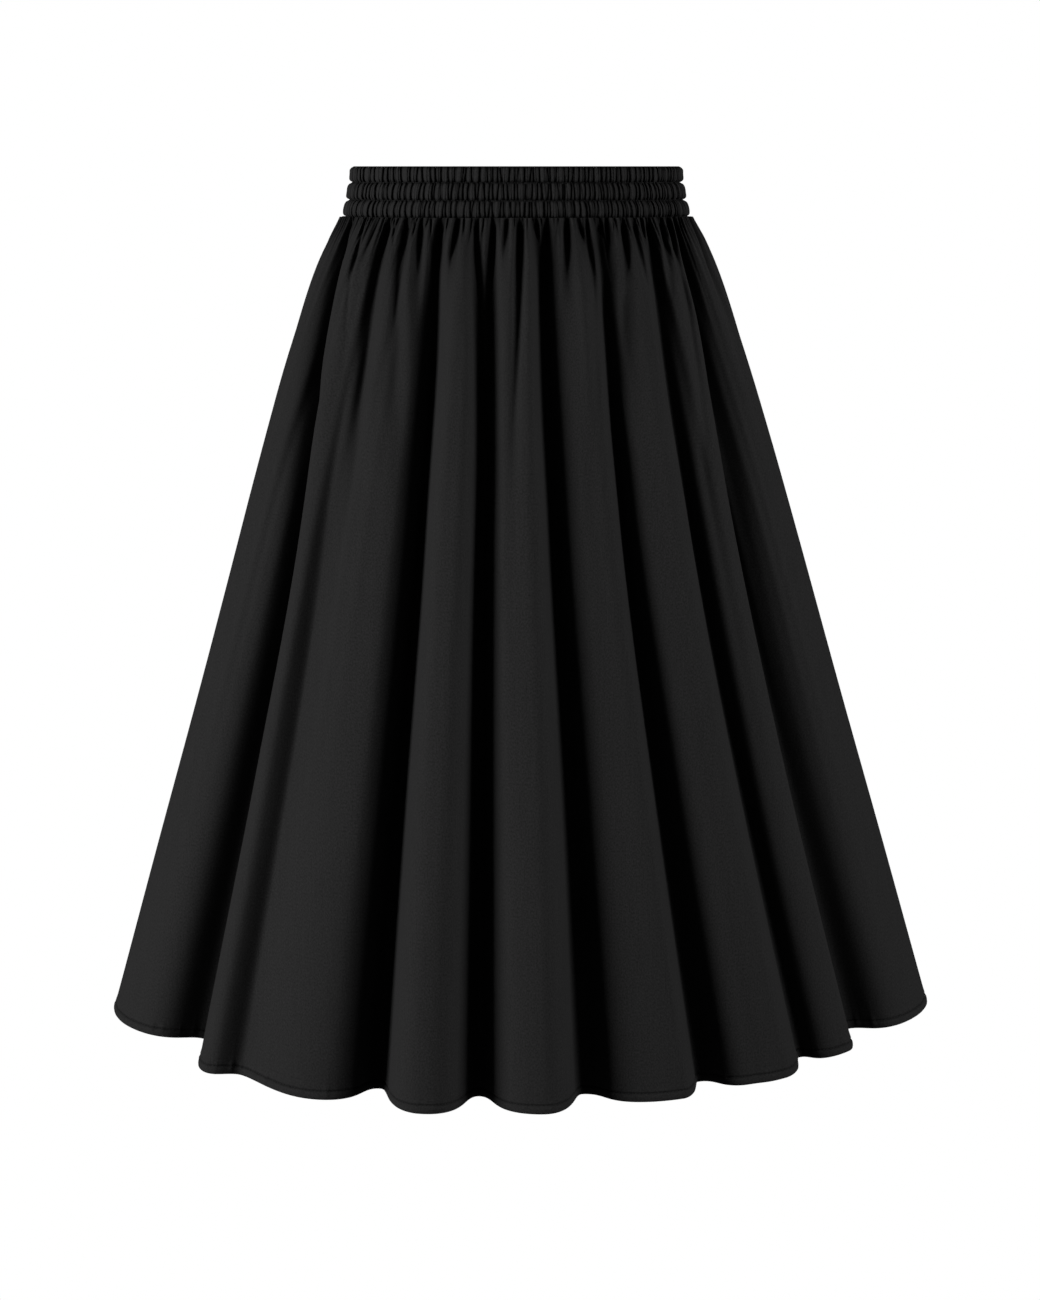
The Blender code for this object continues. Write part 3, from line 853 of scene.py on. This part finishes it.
def closed_shell(name, outside, inside, uv, inside_uv, every):
    """One closed body of cloth from a fine outside grid and a plainer inside one, which has
    the outside's rows named in every, and its every second column. Four rims close the gap
    between them: at the top and the foot, faces of five corners, and down each side, one
    face for each step of the inside."""
    rows, columns = outside.shape[:2]
    in_rows, in_columns = inside.shape[:2]
    out_index = np.arange(rows * columns).reshape(rows, columns)
    in_index = rows * columns + np.arange(in_rows * in_columns).reshape(in_rows, in_columns)
    front = np.stack([out_index[:-1, :-1], out_index[1:, :-1], out_index[1:, 1:],
                      out_index[:-1, 1:]], axis=-1).reshape(-1, 4)
    back = np.stack([in_index[:-1, :-1], in_index[:-1, 1:], in_index[1:, 1:],
                     in_index[1:, :-1]], axis=-1).reshape(-1, 4)
    a = np.arange(in_columns - 1)
    top = np.stack([in_index[0, a + 1], in_index[0, a], out_index[0, 2 * a],
                    out_index[0, 2 * a + 1], out_index[0, 2 * a + 2]], axis=-1)
    foot = np.stack([in_index[-1, a], in_index[-1, a + 1], out_index[-1, 2 * a + 2],
                     out_index[-1, 2 * a + 1], out_index[-1, 2 * a]], axis=-1)
    faces = front.tolist() + back.tolist() + top.tolist() + foot.tolist()
    for column, in_column, turned in ((0, 0, False), (columns - 1, in_columns - 1, True)):
        for r in range(in_rows - 1):
            run = list(range(every[r], every[r + 1] + 1))
            loop = [int(in_index[r, in_column]), int(in_index[r + 1, in_column])]
            loop += [int(out_index[k, column]) for k in reversed(run)]
            faces.append(loop[::-1] if turned else loop)
    points = np.concatenate([outside.reshape(-1, 3), inside.reshape(-1, 3)])
    places = np.concatenate([uv.reshape(-1, 2), inside_uv.reshape(-1, 2)])
    mesh = bpy.data.meshes.new(name)
    mesh.from_pydata(points.tolist(), [], faces)
    layer = mesh.uv_layers.new(name="cloth")
    corner_points = np.empty(len(mesh.loops), dtype=np.int32)
    mesh.loops.foreach_get("vertex_index", corner_points)
    layer.data.foreach_set("uv", places[corner_points].reshape(-1).astype(np.float32))
    mesh.shade_smooth()
    mesh.set_sharp_from_angle(angle=SHARP_ANGLE)
    return placed(name, mesh)


# The rows of the outside as shares of the fall, close together at the band and the hem,
# and which of them the inside has
FALL_ROWS = np.concatenate([
    np.linspace(0.0, 0.034, 19)[:-1],
    np.linspace(0.034, 0.13, 19)[:-1],
    np.linspace(0.13, 0.50, 19)[:-1],
    np.linspace(0.50, 1 - 1.5 * HEM_SHARE, 17)[:-1],
    1 - HEM_SHARE * np.array([1.5, 1.25, 1.04, 0.96, 0.88, 0.80, 0.72, 0.6, 0.45, 0.30,
                              0.17, 0.08, 0.02, 0.0]),
])
LAST_ROW = len(FALL_ROWS) - 1
INSIDE_ROWS = [0, 3, 6, 9, 13, 17, 21, 25, 30, 35, 40, 45, 50, 55, 60, 65, 69,
               *range(70, LAST_ROW, 2), LAST_ROW]


def skirt_panel(name, flutes, total, seed):
    """A panel from one surface: the outside with its relief, and the plain inside moved in
    through the cloth, doubled where the hem is turned up and thicker in the gathers under
    the band. Relief stands out level near the band, so that it keeps the creases open,
    square to the cloth further down, and dies away at the side seams, where the edges
    stop half a gap short of the valley in which the two panels meet."""
    flute, across = flute_columns(flutes, total)
    plain, angle, seam_painted_shade, open_way = skirt_surface(flute, across, FALL_ROWS)
    out = outward_normals(plain)
    relief, hem_arc, shade = panel_relief(plain, angle, FALL_ROWS, seed)
    side = np.gradient(plain, axis=1)
    side /= np.linalg.norm(side, axis=-1, keepdims=True)
    edge = (1 - FALL_ROWS)[:, None] * FALL_LENGTH
    rounding = EDGE_ROUNDING * np.clip(1 - edge / EDGE_HEIGHT, 0, 1) ** 2
    at_seam = np.exp(-(np.minimum(hem_arc, hem_arc[-1] - hem_arc) / SEAM_FLAT) ** 2)
    relief = relief * (1 - at_seam)
    lower = (smooth_step(FALL_ROWS / 0.30)[:, None] * (1 - at_seam))[..., None]
    raised = open_way * (1 - lower) + out * lower
    raised /= np.linalg.norm(raised, axis=-1, keepdims=True)
    level = open_way * (1 - lower) + out * [1.0, 1.0, 0.0] * lower
    outside = plain + raised * relief[..., None] - level * rounding[..., None]
    outside[0, :, 2] = plain[0, :, 2]

    inside_falls = FALL_ROWS[INSIDE_ROWS]
    doubled = smooth_step((inside_falls - (1 - HEM_SHARE * 1.08)) / (HEM_SHARE * 0.08))
    gathered = np.exp(-(inside_falls / GATHERS_FALL) ** 2)
    thick = CLOTH * (1 + HEM_EXTRA * doubled + GATHERS_EXTRA * gathered)
    inward = level[INSIDE_ROWS][:, ::2]
    inside = plain[INSIDE_ROWS][:, ::2] - inward * thick[:, None, None]
    for grid, step in ((outside, side), (inside, side[INSIDE_ROWS][:, ::2])):
        grid[:, 0] += step[:, 0] * SEAM_GAP / 2
        grid[:, -1] -= step[:, -1] * SEAM_GAP / 2

    row_arc = np.linalg.norm(np.diff(plain, axis=1), axis=-1).sum(axis=1)
    middle = hem_arc - hem_arc[-1] / 2
    u = middle[None, :] * (row_arc / row_arc[-1])[:, None]
    v = np.broadcast_to(-FALL_ROWS[:, None] * FALL_LENGTH, u.shape)
    uv = np.stack([u, v], axis=-1)
    piece = closed_shell(name, outside, inside, uv, uv[INSIDE_ROWS][:, ::2], INSIDE_ROWS)
    # The panel's colour carries shade painted into the creases under the seam, between the
    # puckers and in the hem's dent
    paint_crease_shade(piece, np.concatenate([np.maximum(shade, seam_painted_shade).reshape(-1),
                                        np.zeros(inside[..., 0].size)]))
    return piece, outside, out


FRONT_FLUTES = [18, *range(8)]
BACK_FLUTES = [*range(8, 18)]
PANEL_COLUMNS = 960
panel_cotton = cotton("panel_cotton", dye=BLACK_DYE, fleck=1.90, relief=0.00022)
panels = {}
for panel_name, node, flutes, seed in (("front_panel", "skirt_front", FRONT_FLUTES, 5),
                                       ("back_panel", "skirt_back", BACK_FLUTES, 8)):
    panel, panel_outside, panel_normals = skirt_panel(panel_name, flutes, PANEL_COLUMNS,
                                                      seed)
    panel.data.materials.append(panel_cotton)
    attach(panel, "root")
    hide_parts(node)
    panels[panel_name] = (panel_outside, panel_normals)


# The hem is turned up twice and topstitched close to its fold, in the same black thread,
# with a stitch a little longer than the band's.
def hem_path(outside, normals):
    """The line of the hem's stitching over a panel: the row of its outside nearest to it."""
    row = int(np.argmin(np.abs(FALL_ROWS - (1 - STITCH_SHARE))))
    return outside[row], normals[row]


hem_stitching = stitches("hem_stitching", [hem_path(*panels[name]) for name in panels],
                         pitch=0.0030, length=0.0023, radius=0.00021)
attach(hem_stitching, "root")


# The floor: pale and plain, a wearer's waist height below the band. Seen from beneath it
# lets the view through, and only the camera sees its brightness, so it throws no light
# up into the folds.
FLOOR_Z = -1.03
FLOOR_HALF_WIDTH = 14.0


def pale_floor():
    """A wide square of matte white, lit for the camera and dark to everything else."""
    half = FLOOR_HALF_WIDTH
    mesh = bpy.data.meshes.new("floor")
    mesh.from_pydata([(-half, -half, FLOOR_Z), (half, -half, FLOOR_Z), (half, half, FLOOR_Z),
                      (-half, half, FLOOR_Z)], [], [(0, 1, 2, 3)])
    material = bpy.data.materials.new("pale_floor")
    material.use_nodes = True
    nodes = material.node_tree.nodes
    links = material.node_tree.links
    nodes.remove(nodes["Principled BSDF"])
    glow = nodes.new("ShaderNodeEmission")
    clear = nodes.new("ShaderNodeBsdfTransparent")
    dark = nodes.new("ShaderNodeBsdfDiffuse")
    dark.inputs["Color"].default_value = (0.10, 0.10, 0.10, 1.0)
    below = nodes.new("ShaderNodeNewGeometry")
    path = nodes.new("ShaderNodeLightPath")
    seen = nodes.new("ShaderNodeMixShader")
    through_it = nodes.new("ShaderNodeMixShader")
    links.new(path.outputs["Is Camera Ray"], seen.inputs["Fac"])
    links.new(dark.outputs["BSDF"], seen.inputs[1])
    links.new(glow.outputs["Emission"], seen.inputs[2])
    links.new(below.outputs["Backfacing"], through_it.inputs["Fac"])
    links.new(seen.outputs["Shader"], through_it.inputs[1])
    links.new(clear.outputs["BSDF"], through_it.inputs[2])
    links.new(through_it.outputs["Shader"], nodes["Material Output"].inputs["Surface"])
    mesh.materials.append(material)
    return placed("floor", mesh)


pale_floor()

# Studio light from both sides: a broad soft box well round to the left, a weaker and
# higher one to the right, and a dim surround that the camera sees as white.
surround = bpy.data.worlds.new("studio")
bpy.context.scene.world = surround
surround.use_nodes = True
world_nodes = surround.node_tree.nodes
world_links = surround.node_tree.links
background = world_nodes["Background"]
background.inputs["Color"].default_value = (1.0, 1.0, 1.0, 1.0)
ray = world_nodes.new("ShaderNodeLightPath")
brightness = world_nodes.new("ShaderNodeMapRange")
brightness.inputs["To Min"].default_value = 0.015
brightness.inputs["To Max"].default_value = 1.0
world_links.new(ray.outputs["Is Camera Ray"], brightness.inputs["Value"])
world_links.new(brightness.outputs["Result"], background.inputs["Strength"])


LAMP_TARGET = Vector((0.0, 0.0, -0.35))


def soft_lamp(name, place, size, power):
    """A square lamp that looks at the middle of the skirt."""
    lamp = bpy.data.lights.new(name, "AREA")
    lamp.size = size
    lamp.energy = power
    holder = bpy.data.objects.new(name, lamp)
    bpy.context.scene.collection.objects.link(holder)
    holder.location = place
    look = LAMP_TARGET - Vector(place)
    holder.rotation_euler = look.to_track_quat("-Z", "Y").to_euler()


soft_lamp("left_lamp", (-3.17, -1.68, 0.22), size=1.8, power=105.0)
soft_lamp("right_lamp", (3.05, -1.62, 0.70), size=1.8, power=70.0)

# The camera stands three metres off, level with the band's top edge, and looks down a
# little, so the band's seams sag slightly and the hem curves.
CAMERA_DISTANCE = 3.0
CAMERA_SIDE = 0.003
CAMERA_BELOW_TOP = 0.0011
CAMERA_TILT = math.radians(7.84)
IMAGE_HEIGHT = 1300
FOCAL_PIXELS = 3507
camera_data = bpy.data.cameras.new("camera")
camera_data.lens = FOCAL_PIXELS * camera_data.sensor_width / IMAGE_HEIGHT
camera = bpy.data.objects.new("camera", camera_data)
bpy.context.scene.collection.objects.link(camera)
camera.location = (CAMERA_SIDE, -CAMERA_DISTANCE, BAND_TOP - CAMERA_BELOW_TOP)
camera.rotation_euler = (math.pi / 2 - CAMERA_TILT, 0.0, 0.0)
bpy.context.scene.camera = camera
bpy.context.scene.view_settings.view_transform = "Standard"
